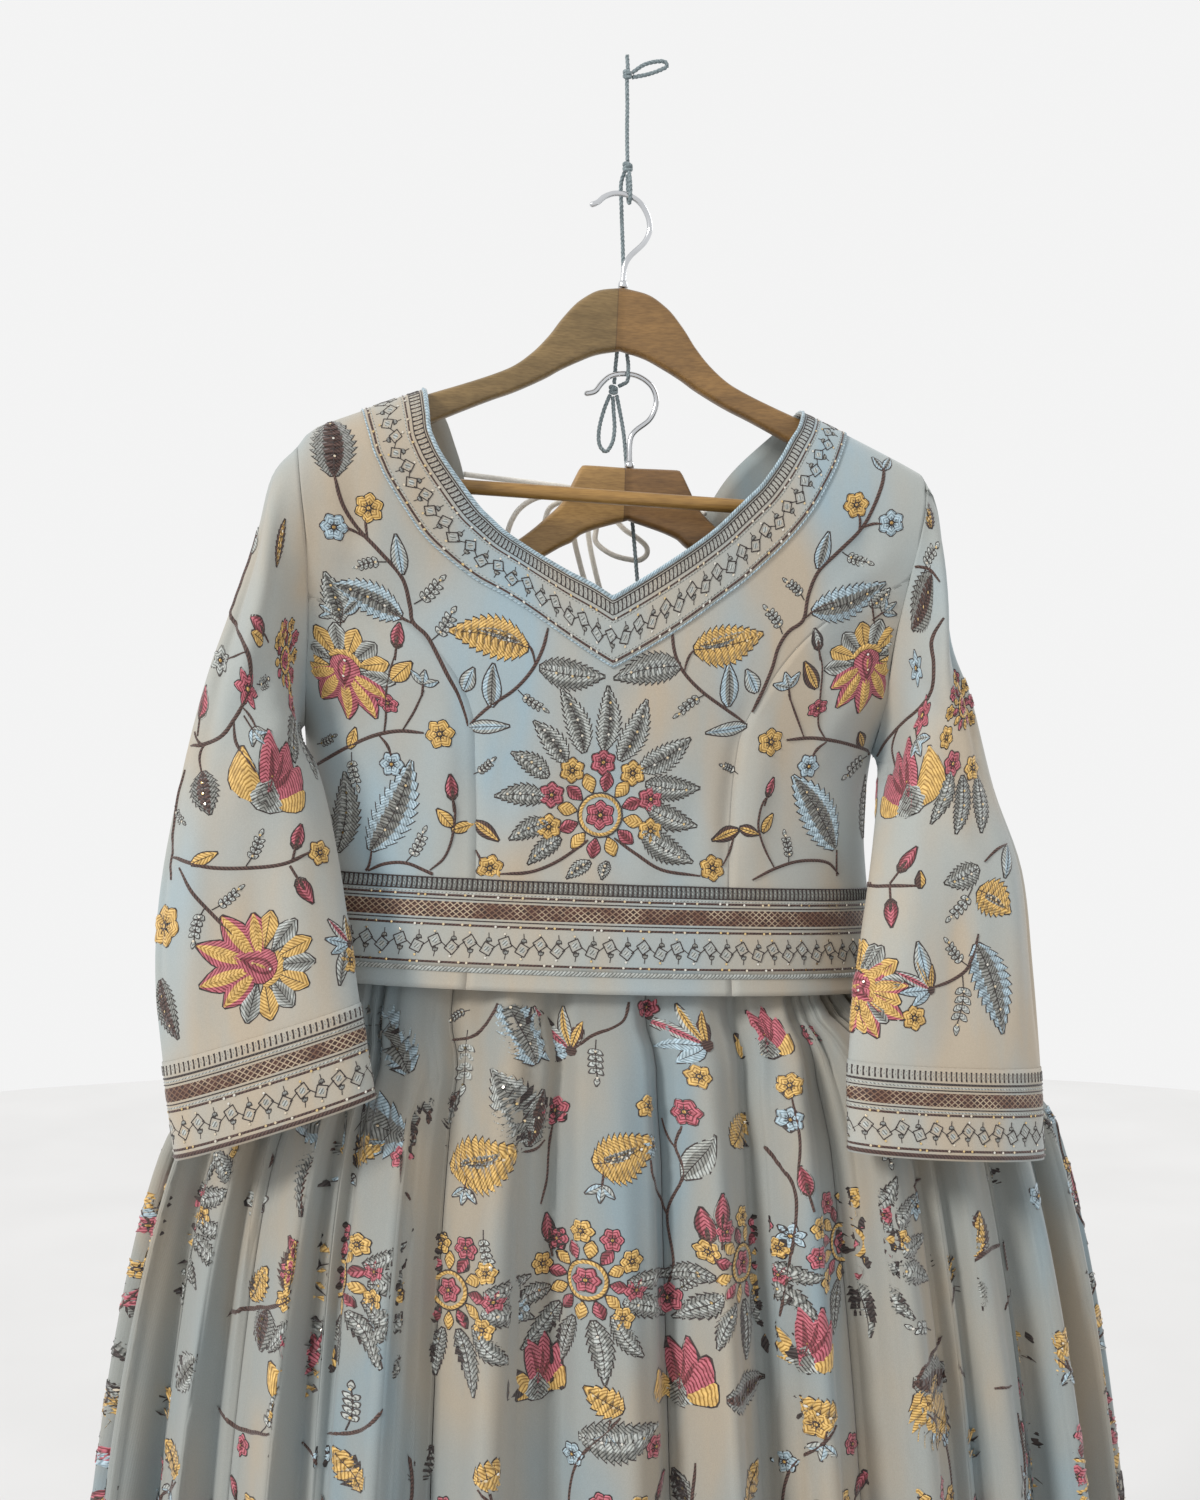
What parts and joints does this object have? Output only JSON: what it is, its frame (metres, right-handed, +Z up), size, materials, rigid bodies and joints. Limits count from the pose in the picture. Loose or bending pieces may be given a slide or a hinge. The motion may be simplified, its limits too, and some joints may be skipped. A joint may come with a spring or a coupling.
{
  "type": "lehenga choli set on two wooden hangers",
  "caption": "Powder-blue lehenga choli, embroidered blouse over a panelled skirt, each on its wooden hanger, hung from one string.",
  "frame": {"origin": "the knot at the top of the string that carries both hangers", "axes": "+Z up, +X to the right of the garment as seen from its front, the front faces -Y"},
  "size_m": [0.8429, 0.3758, 1.421],
  "materials": {
    "cloth": "matte georgette, mottled blue and beige",
    "trim": "embroidered border with sequins",
    "wood": "satin varnish",
    "chrome": "polished",
    "string": "twisted grey string",
    "tie": "off-white cotton cord"
  },
  "bodies": {
    "root": {"hanger_1_wood": "wood", "hanger_1_bar": "wood", "hanger_1_hook": "chrome", "hanger_2_wood": "wood", "hanger_2_bar": "wood", "hanger_2_hook": "chrome", "string_knot_top": "string", "string_knot_middle": "string", "string_knot_bow": "string", "string_tip": "string", "string_top_loop": "string", "string_upper": "string", "string_hook_loop": "string", "string_middle": "string", "string_back": "string", "string_bow": "string", "string_tail": "string", "blouse_front": "cloth", "blouse_side_front_left": "cloth", "blouse_side_front_right": "cloth", "blouse_back": "cloth", "blouse_neck_band": "trim", "blouse_waist_border": "trim", "blouse_sleeve_left": "cloth", "blouse_sleeve_right": "cloth", "blouse_cuff_left": "trim", "blouse_cuff_right": "trim", "blouse_tie_knot": "tie", "blouse_tie_left": "tie", "blouse_tie_right": "tie", "blouse_tie_tail_a": "tie", "blouse_tie_tail_b": "tie", "blouse_tie_tail_c": "tie", "blouse_tie_tail_d": "tie", "blouse_tie_loop": "tie", "skirt_waistband": "cloth", "skirt_loop_left": "cloth", "skirt_loop_right": "cloth", "skirt_panel_01": "cloth", "skirt_panel_02": "cloth", "skirt_panel_03": "cloth", "skirt_panel_04": "cloth", "skirt_panel_05": "cloth", "skirt_panel_06": "cloth", "skirt_panel_07": "cloth", "skirt_panel_08": "cloth", "skirt_panel_09": "cloth", "skirt_panel_10": "cloth", "skirt_panel_11": "cloth", "skirt_panel_12": "cloth"}
  },
  "joints": []
}
